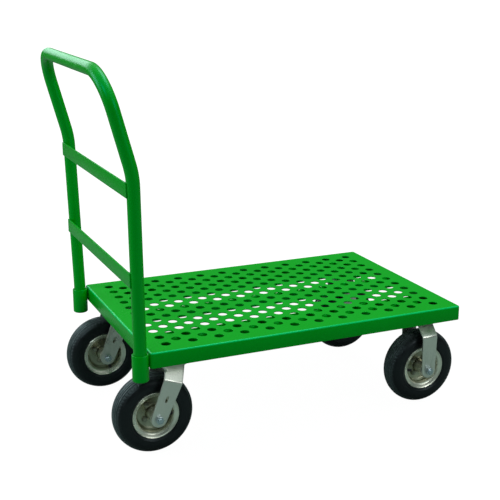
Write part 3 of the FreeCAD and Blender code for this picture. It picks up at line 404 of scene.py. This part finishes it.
rubber.colour(rubber.mix(rubber.span(rubber.noise(60.0, 3.0), 0.3, 0.7), (0.012, 0.012, 0.013), (0.024, 0.024, 0.026)))
rubber.bump(rubber.noise(500.0, 2.0), 0.15, 0.0003)
MAT["rubber"] = rubber.mat
floor_mesh.materials.append(floor_material())


# --------------------------------------------------------------- mesh helpers
def finish_mesh(obj, angle=38.0):
    obj.data.shade_smooth()
    obj.data.set_sharp_from_angle(angle=math.radians(angle))


def piece(name, verts, faces, body, mat, stands_for=(), origin=None, angle=38.0, flat_faces=None):
    """A new mesh piece.  verts are in metres, relative to origin when one is given."""
    mesh = bpy.data.meshes.new(name)
    mesh.from_pydata([tuple(v) for v in verts], [], faces)
    mesh.validate()
    mesh.update()
    obj = bpy.data.objects.new(name, mesh)
    scene.collection.objects.link(obj)
    if origin is not None:
        obj.location = origin
    bm = bmesh.new()
    bm.from_mesh(mesh)
    bmesh.ops.recalc_face_normals(bm, faces=bm.faces)
    bm.to_mesh(mesh)
    bm.free()
    finish_mesh(obj, angle)
    if flat_faces is not None:
        for p in mesh.polygons:
            if flat_faces(p):
                p.use_smooth = False
    mesh.materials.append(mat)
    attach(obj, body)
    if stands_for:
        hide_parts(*stands_for)
    return obj


def rounded(points, radii, steps=4, closed=True):
    """Rounds the corners of a polyline; radii is one number or one per corner."""
    n = len(points)
    out = []
    for i, p in enumerate(points):
        r = radii[i] if isinstance(radii, (list, tuple)) else radii
        if r <= 0 or (not closed and i in (0, n - 1)):
            out.append(tuple(p))
            continue
        p = Vector(p)
        a, b = Vector(points[i - 1]) - p, Vector(points[(i + 1) % n]) - p
        la, lb = a.length, b.length
        a.normalize()
        b.normalize()
        ang = math.acos(max(-1.0, min(1.0, a.dot(b))))
        if ang > math.radians(176):
            out.append(tuple(p))
            continue
        t = min(r / math.tan(ang / 2), 0.48 * la, 0.48 * lb)
        rr = t * math.tan(ang / 2)
        c = p + (a + b).normalized() * (rr / math.sin(ang / 2))
        e0, e1 = (p + a * t) - c, (p + b * t) - c
        turn = math.pi - ang
        for k in range(steps + 1):
            s = k / steps
            v = (math.sin((1 - s) * turn) * e0 + math.sin(s * turn) * e1) / math.sin(turn)
            out.append(tuple(c + v))
    return out


def lathe(profile, segments, axis="Y", shape=None):
    """Closed profile of (radius, along) in mm turned about an axis; returns metres."""
    n = len(profile)
    verts, faces = [], []
    for k in range(segments):
        a = 2 * math.pi * k / segments
        for i, (r, y) in enumerate(profile):
            if shape is not None:
                r, y = shape(i, k, a, r, y)
            if axis == "Y":
                verts.append((r * math.cos(a) * MM, y * MM, r * math.sin(a) * MM))
            else:
                verts.append((r * math.cos(a) * MM, r * math.sin(a) * MM, y * MM))
    for k in range(segments):
        k2 = (k + 1) % segments
        for i in range(n):
            j = (i + 1) % n
            faces.append((k * n + i, k * n + j, k2 * n + j, k2 * n + i))
    return verts, faces


def sweep(points, radius, ring=24, caps="bore", wall=2.1, wobble=None):
    """Round tube along points (mm, deck frame); returns metre vertices and faces."""
    pts = [Vector(p) for p in points]
    n = len(pts)
    tangents = []
    for i in range(n):
        a = pts[max(0, i - 1)]
        b = pts[min(n - 1, i + 1)]
        tangents.append((b - a).normalized())
    ref = Vector((1, 0, 0)) if abs(tangents[0].x) < 0.9 else Vector((0, 1, 0))
    u = (ref - tangents[0] * ref.dot(tangents[0])).normalized()
    frames = [u]
    for i in range(1, n):
        q = tangents[i - 1].rotation_difference(tangents[i])
        u = q @ frames[-1]
        u = (u - tangents[i] * u.dot(tangents[i])).normalized()
        frames.append(u)
    verts, faces = [], []

    def loop(i, rad, shift=0.0):
        t, u = tangents[i], frames[i]
        w = t.cross(u)
        start = len(verts)
        for k in range(ring):
            a = 2 * math.pi * k / ring
            verts.append(W(*(pts[i] + t * shift + (u * math.cos(a) + w * math.sin(a)) * rad)))
        return start

    def join(a, b):
        for k in range(ring):
            k2 = (k + 1) % ring
            faces.append((a + k, a + k2, b + k2, b + k))

    if caps == "bore":
        starts = [loop(0, radius - wall, 25.0), loop(0, radius - wall, 0.6), loop(0, radius - wall + 0.6, 0.0), loop(0, radius - 0.6, 0.0)]
    else:
        starts = [loop(0, radius * 0.55, -radius * 0.35)]
    for i in range(n):
        r = radius if wobble is None else radius * wobble(i)
        starts.append(loop(i, r, 0.6 if (i == 0 and caps == "bore") else (-0.6 if (i == n - 1 and caps == "bore") else 0.0)))
    if caps == "bore":
        starts += [loop(n - 1, radius - 0.6, 0.0), loop(n - 1, radius - wall + 0.6, 0.0), loop(n - 1, radius - wall, -0.6), loop(n - 1, radius - wall, -25.0)]
    else:
        starts.append(loop(n - 1, radius * 0.55, radius * 0.35))
    for a, b in zip(starts[:-1], starts[1:]):
        join(a, b)
    faces.append(tuple(range(starts[0] + ring - 1, starts[0] - 1, -1)))
    faces.append(tuple(range(starts[-1], starts[-1] + ring)))
    return verts, faces


def arc_path(points, radii, step=2.5):
    """Straight runs joined by tangent arcs, as fine polylines."""
    pts = [Vector(p) for p in points]
    out = [pts[0]]
    for i in range(1, len(pts) - 1):
        a, b, c = pts[i - 1], pts[i], pts[i + 1]
        u, w = (a - b).normalized(), (c - b).normalized()
        ang = math.acos(max(-1.0, min(1.0, u.dot(w))))
        reach = radii[i - 1] / math.tan(ang / 2)
        centre = b + (u + w).normalized() * (radii[i - 1] / math.sin(ang / 2))
        e0, e1 = (b + u * reach) - centre, (b + w * reach) - centre
        turn = math.pi - ang
        count = max(2, int(math.degrees(turn) / step))
        for k in range(count + 1):
            s = k / count
            out.append(centre + (math.sin((1 - s) * turn) * e0 + math.sin(s * turn) * e1) / math.sin(turn))
    out.append(pts[-1])
    return out


def merge(parts):
    """Joins several (verts, faces) lists."""
    verts, faces = [], []
    for v, f in parts:
        base = len(verts)
        verts += list(v)
        faces += [tuple(i + base for i in face) for face in f]
    return verts, faces


def weld_bead(a, b, radius, pitch=3.2, ring=10):
    """A rippled weld run from a to b, deck-frame millimetres."""
    a, b = Vector(a), Vector(b)
    count = max(4, int((b - a).length / (pitch / 4)))
    pts = [a + (b - a) * (k / count) for k in range(count + 1)]
    phase = rng.uniform(0, 6)

    def wobble(i):
        s = (b - a).length * i / count
        edge = min(1.0, (i + 1) / 4, (count - i + 1) / 4)
        return edge * (1 + 0.14 * math.sin(2 * math.pi * s / pitch + phase) + 0.06 * math.sin(s * 0.9 + phase))
    return sweep(pts, radius, ring=ring, caps="round", wobble=wobble)


# ------------------------------------------------------------------ deck pan
def build_deck():
    half_l, half_w, t = (d_hi.x - d_lo.x) / 2 / MM, (d_hi.y - d_lo.y) / 2 / MM, 2.7
    lip = (d_hi.z - d_lo.z) / MM
    corner, fold = 8.0, 5.0
    verts, faces = [], []

    def ring(inset, z):
        r = max(corner - inset, 0.4)
        start = len(verts)
        steps = 7
        for cx, cy, a0 in ((half_l - inset - r, half_w - inset - r, 0), (-half_l + inset + r, half_w - inset - r, 90),
                           (-half_l + inset + r, -half_w + inset + r, 180), (half_l - inset - r, -half_w + inset + r, 270)):
            for k in range(steps + 1):
                a = math.radians(a0 + 90 * k / steps)
                verts.append(W(cx + r * math.cos(a), cy + r * math.sin(a), z))
        return start, 4 * (steps + 1)

    # section of the folded edge, from the flat top round to the flat underside
    section = [(12.0, 0.0)]
    section += [(fold - fold * math.sin(a), -fold + fold * math.cos(a)) for a in [math.radians(90 * k / 8) for k in range(9)]]
    section += [(0.0, -lip + 0.9), (0.27, -lip + 0.27), (0.9, -lip), (t - 0.9, -lip), (t - 0.27, -lip + 0.27), (t, -lip + 0.9)]
    ri = fold - t
    section += [(fold - ri * math.cos(a), -fold + ri * math.sin(a)) for a in [math.radians(90 * k / 5) for k in range(6)]]
    section += [(12.0, -t)]
    loops = [ring(i, z) for i, z in section]
    for (s0, n), (s1, _) in zip(loops[:-1], loops[1:]):
        for k in range(n):
            k2 = (k + 1) % n
            faces.append((s0 + k, s1 + k, s1 + k2, s0 + k2))

    # holes
    seg, rh, e = 40, 12.7, 0.55
    centres = []
    for j in range(21):
        for i in range(12 - j % 2):
            centres.append(((i + (0.5 if j % 2 else 0.0) - 5.5) * 72.6, (j - 10) * 25.4))
    hole_section = [(rh + e, 0.0), (rh + e * 0.29, -e * 0.29), (rh, -e), (rh, -t + e), (rh + e * 0.29, -t + e * 0.29), (rh + e, -t)]
    top_loops, low_loops = [list(range(loops[0][0], loops[0][0] + loops[0][1]))], [list(range(loops[-1][0], loops[-1][0] + loops[-1][1]))]
    for cx, cy in centres:
        starts = []
        for r, z in hole_section:
            starts.append(len(verts))
            for k in range(seg):
                a = 2 * math.pi * k / seg
                verts.append(W(cx + r * math.cos(a), cy + r * math.sin(a), z))
        for s0, s1 in zip(starts[:-1], starts[1:]):
            for k in range(seg):
                k2 = (k + 1) % seg
                faces.append((s0 + k, s0 + k2, s1 + k2, s1 + k))
        top_loops.append(list(range(starts[0], starts[0] + seg)))
        low_loops.append(list(range(starts[-1], starts[-1] + seg)))

    flat = set()
    for loop_set in (top_loops, low_loops):
        ids = [i for lp in loop_set for i in lp]
        coords = [Vector((verts[i].x * 10, verts[i].y * 10)) for i in ids]
        edges, base = [], 0
        for lp in loop_set:
            m = len(lp)
            edges += [(base + k, base + (k + 1) % m) for k in range(m)]
            base += m
        res = geometry.delaunay_2d_cdt(coords, edges, [], 0, 1e-7)
        out_v, out_f, orig = res[0], res[2], res[3]
        for f in out_f:
            c = sum((Vector((out_v[i].x, out_v[i].y)) for i in f), Vector((0, 0))) / len(f)
            x, y = (c.x / 10 - DECK.x) / MM, (c.y / 10 - DECK.y) / MM
            if abs(x) > half_l - 12.0 or abs(y) > half_w - 12.0:
                continue
            j = round(y / 25.4) + 10
            inside = False
            for jj in (j - 1, j, j + 1):
                if 0 <= jj <= 20:
                    off = 0.5 if jj % 2 else 0.0
                    i = round(x / 72.6 + 5.5 - off)
                    if 0 <= i < 12 - jj % 2:
                        hx, hy = (i + off - 5.5) * 72.6, (jj - 10) * 25.4
                        if math.hypot(x - hx, y - hy) < rh + e - 0.12:
                            inside = True
            if inside:
                continue
            if all(orig[i] for i in f):
                faces.append(tuple(ids[orig[i][0]] for i in f))
                flat.add(len(faces) - 1)
    top_z, low_z = DECK.z, DECK.z - t * MM

    def is_flat(p):
        return abs(p.normal.z) > 0.9999
    return piece("deck_pan_sheet", verts, faces, "deck_frame", MAT["deck"], ("deck_pan",), angle=50.0, flat_faces=is_flat)


build_deck()

# -------------------------------------------------------------------- handle
LEG_X0, LEG_Y0 = -(457.2 + 21.1), 286.5
LEAN, SPLAY, BEND_Z, TOP_Z, SLOPE, TOP_Y = 0.0215, 0.028, 448.0, 689.5, 0.27, 296.0
BEND_X, BEND_Y = LEG_X0 - LEAN * BEND_Z, LEG_Y0 + SPLAY * BEND_Z
TOP_X = BEND_X - SLOPE * (TOP_Z - BEND_Z)
TUBE_R = 33.4 / 2


def handle_points():
    def leg(s):
        return [(LEG_X0, s * LEG_Y0, -69.95), (LEG_X0, s * LEG_Y0, 12.0), (BEND_X, s * BEND_Y, BEND_Z)]
    return leg(-1) + [(TOP_X, -TOP_Y, TOP_Z), (TOP_X, TOP_Y, TOP_Z)] + leg(1)[::-1]


path = arc_path(handle_points(), [300.0, 230.0, 92.0, 92.0, 230.0, 300.0], step=2.0)
v, f = sweep(path, TUBE_R, ring=64, caps="bore", wall=2.6)
piece("push_handle_tube", v, f, "push_handle", MAT["tube"], ("handle_tube",))


def leg_at(z, side):
    return Vector((LEG_X0 - LEAN * z, side * (LEG_Y0 + SPLAY * z), z))


beads = []
for level in (414.0, 190.0):
    for side in (1, -1):
        for dz in (-18.25, 18.25):
            p = leg_at(level + dz, side)
            x = p.x - TUBE_R + 0.6
            beads.append(weld_bead((x, p.y - side * 9.5, p.z + (0.3 if dz > 0 else -0.3)), (x, p.y + side * 2.0, p.z + (0.3 if dz > 0 else -0.3)), 1.7))
        p0, p1 = leg_at(level - 16.5, side), leg_at(level + 16.5, side)
        off = 6.2
        beads.append(weld_bead((p0.x - TUBE_R + 1.0, p0.y - side * off, p0.z), (p1.x - TUBE_R + 1.0, p1.y - side * off, p1.z), 1.9))
v, f = merge(beads)
piece("handle_weld_beads", v, f, "push_handle", MAT["tube"])


# ------------------------------------------------------------------- sockets
def build_socket(side, name):
    ro, ri = 21.1, 17.525
    prof = [(ri, -70.0), (ri, -6.2), (ri + 0.35, -5.35), (ri + 1.2, -5.0), (ro - 1.6, -5.0), (ro - 0.5, -5.45), (ro, -6.6), (ro, -70.6)]
    prof += [(ro - 4.4 + 4.4 * math.cos(a), -70.6 - 4.4 * math.sin(a)) for a in [math.radians(90 * k / 6) for k in range(1, 7)]]
    prof += [(8.0, -75.0), (0.02, -75.0), (0.02, -70.0)]
    v, f = lathe(prof, 72, axis="Z")
    origin = W(LEG_X0, side * LEG_Y0, 0)
    piece(name + "_socket_tube", v, f, "deck_frame", MAT["tube"], (name + "_handle_socket", "socket_end_plugs") if side > 0 else (name + "_handle_socket",), origin=origin)
    return [weld_bead((-457.9, side * LEG_Y0 + s * 4.6, -9.0), (-457.9, side * LEG_Y0 + s * 4.6, -39.0), 2.6, pitch=3.8) for s in (1, -1)]


v, f = merge(build_socket(1, "left") + build_socket(-1, "right"))
piece("socket_weld_beads", v, f, "deck_frame", MAT["tube"])


# -------------------------------------------------------------------- wheels
def tyre_profile():
    """Outer line from bead to bead with tread grooves and sidewall rings, then the hollow."""
    half = []      # (radius, |y|) from the crown to the bead
    R = 107.5
    crown = [(R, 0.0), (R - 0.25, 4.8), (R - 0.55, 7.4), (R - 1.6, 12.2), (R - 3.1, 16.6), (R - 5.4, 20.8), (R - 8.4, 24.8), (R - 12.2, 28.4),
             (R - 17.0, 31.2), (R - 22.5, 32.8), (R - 28.0, 33.2), (R - 34.0, 32.9), (R - 39.0, 32.2), (R - 42.3, 31.0), (63.9, 29.6)]
    # smooth resample
    pts = np.array(crown)
    t = np.r_[0, np.cumsum(np.hypot(*np.diff(pts, axis=0).T))]
    fine = np.linspace(0, t[-1], 92)
    rr = np.interp(fine, t, pts[:, 0])
    yy = np.interp(fine, t, pts[:, 1])
    for _ in range(10):
        rr[1:-1] = (rr[:-2] + 2 * rr[1:-1] + rr[2:]) / 4
        yy[1:-1] = (yy[:-2] + 2 * yy[1:-1] + yy[2:]) / 4
    rr[0] = R
    dr, dy = np.gradient(rr), np.gradient(yy)
    ln = np.hypot(dr, dy)
    nr, ny = dy / ln, -dr / ln            # outward normal
    depth = np.zeros_like(fine)

    def trough(where, width, deep, lift=0.0):
        s = np.abs(yy_s - where) / (width / 2)
        return np.where(s < 1, deep * (0.5 + 0.5 * np.cos(np.pi * np.clip(s, 0, 1) ** 2.2)), 0)
    yy_s = fine                           # arc length from the crown
    for where, width, deep in ((6.2, 3.0, 2.1), (13.0, 3.0, 2.1), (19.6, 2.4, 1.6)):
        depth += trough(where, width, deep)
    for where, width, high in ((34.0, 2.0, -0.45), (47.5, 1.6, -0.4), (58.5, 3.0, -0.7), (66.0, 1.6, -0.4)):
        depth += trough(where, width, high)
    rr2, yy2 = rr - nr * depth, yy - ny * depth
    outer = list(zip(rr2, yy2))
    bead = [(63.2, 28.2), (61.4, 26.8), (57.6, 25.5), (53.4, 24.2), (51.4, 23.2), (50.7, 22.0), (50.7, 15.2), (51.6, 14.4)]
    hollow = [(55.0, 18.6), (60.0, 23.0), (70.0, 27.8), (80.0, 28.6), (88.0, 26.6), (94.0, 21.5), (99.0, 13.0), (101.0, 0.0)]
    side = outer + bead + hollow[:-1]
    mirror = [(r, -y) for r, y in side[1:]][::-1]
    ring = side + [hollow[-1]] + mirror
    return ring, fine, len(outer)


TYRE_PROFILE, TYRE_ARC, TYRE_OUT = tyre_profile()
TYRE_SEG = 360


def tyre_shape(i, k, a, r, y):
    """Short cross cuts along both tread shoulders, one segment wide out of six."""
    n = len(TYRE_PROFILE)
    idx = i if i < TYRE_OUT else (n - i if n - i < TYRE_OUT else None)
    if idx is not None:
        s = TYRE_ARC[idx]
        if 20.8 < s < 31.0:
            phase = (k + (3 if y < 0 else 0)) % 6
            if phase == 0:
                ease = min(1.0, (s - 20.8) / 1.2, (31.0 - s) / 4.0)
                return r - 0.9 * ease, y - math.copysign(0.6 * ease, y)
    return r, y


def build_tyre(name, body, origin):
    v, f = lathe(TYRE_PROFILE, TYRE_SEG, shape=tyre_shape)
    return piece(name + "_tyre_tread", v, f, body, MAT["tyre"], (name + "_tyre",), origin=origin, angle=60.0)


def rim_section(sign):
    t = 2.0
    outer_line = [(17.6, 0.0), (44.0, 0.0), (50.4, 6.8), (50.4, 22.6), (52.6, 24.6), (57.4, 26.0), (61.2, 27.2), (62.8, 28.4), (63.0, 29.6), (62.0, 30.4), (60.8, 29.8),
                  (59.4, 28.6), (56.4, 27.6), (52.8, 26.4), (49.9, 23.6), (48.4, 20.5), (48.4, 18.4), (47.5, 17.0), (48.4, 15.6), (48.4, 8.0),
                  (43.0, t), (23.0, t), (19.6, 5.0), (19.6, 42.2), (20.8, 43.9), (17.6, 44.0)]
    radii = [0, 3, 3, 4.0, 2.5, 1.5, 1.2, 0.8, 0.7, 0.5, 0.6,
             0.8, 3.0, 3.0, 4.0, 2.0, 0.8, 1.0, 0.8, 4.0,
             3.0, 3.0, 2.2, 0.8, 0.5, 0.3]
    prof = rounded(outer_line, radii, steps=5)
    return [(r, y * sign) for r, y in prof]


def rim_shape(sign):
    """Raised pads round the clamp bolts and shallow pressed pockets between them."""
    def shape(i, k, a, r, y):
        if 22.0 < r < 44.5 and abs(y) < 4.5:
            q = (a + math.pi / 4) % (math.pi / 2)
            d_bolt = min(q, math.pi / 2 - q) * 28.0
            rad = abs(r - 28.0)
            bump = 1.6 * math.exp(-((d_bolt / 8.5) ** 4) - (rad / 8.0) ** 4)
            d_mid = abs(q - math.pi / 4) * 35.0
            dent = -1.8 * math.exp(-((d_mid / 10.0) ** 4) - (abs(r - 35.0) / 6.5) ** 4)
            y = y + sign * (bump + dent) * 0.5 if y * sign > 1.0 else y
        return r, y
    return shape


def build_rim(name, body, origin, spin):
    for word, sign in (("left", 1), ("right", -1)):
        v, f = lathe(rim_section(sign), 160, shape=rim_shape(sign))
        c, s = math.cos(spin), math.sin(spin)
        v = [(x * c + z * s, y, -x * s + z * c) for x, y, z in v]
        piece("%s_rim_%s_pressing" % (name, word), v, f, body, MAT["rim"], ("%s_rim_%s_half" % (name, word),), origin=origin, angle=45.0)


WHEELS = (("left_swivel", 70.0), ("right_swivel", 9.0), ("left_rigid", 200.0), ("right_rigid", 173.0))
for name, spin in WHEELS:
    origin = centre_of(name + "_tyre")
    build_tyre(name, name + "_wheel", origin)
    build_rim(name, name + "_wheel", origin, math.radians(spin))


# --------------------------------------------------- CAD nodes that are shown
def dress(node, mat, bevel=0.0, angle=35.0, segments=2):
    o = nodes[node]
    o.data.materials.clear()
    o.data.materials.append(mat)
    w = o.modifiers.new("weld", "WELD")
    w.merge_threshold = 2e-6
    if bevel > 0:
        b = o.modifiers.new("edges", "BEVEL")
        b.width = bevel * MM
        b.segments = segments
        b.limit_method = "ANGLE"
        b.angle_limit = math.radians(angle)
        b.harden_normals = False
        b.use_clamp_overlap = True
    finish_mesh(o, 32.0)


hidden = {"deck_pan", "handle_tube", "left_handle_socket", "right_handle_socket", "socket_end_plugs"}
for name, o in nodes.items():
    if o.hide_render or name in hidden:
        continue
    if name.endswith("_brace"):
        dress(name, MAT["tube"], 0.5)
    elif name in ("left_side_rail", "right_side_rail", "centre_stiffener", "caster_mount_pads"):
        dress(name, MAT["deck"], 0.4)
    elif "fork" in name:
        dress(name, MAT["fork"], 0.7)
    elif "top_plate" in name:
        dress(name, MAT["fork"], 0.5)
    elif "sleeve" in name:
        dress(name, MAT["steel"])
    elif "balls" in name or "bearings" in name:
        dress(name, MAT["ball"])
    elif "nipple" in name:
        dress(name, MAT["brass"])
    elif "rim_bolts" in name:
        dress(name, MAT["rim_bolt"], 0.25)
    elif "inner_tube" in name:
        dress(name, MAT["rubber"])
    else:
        dress(name, MAT["bolt"], 0.25)
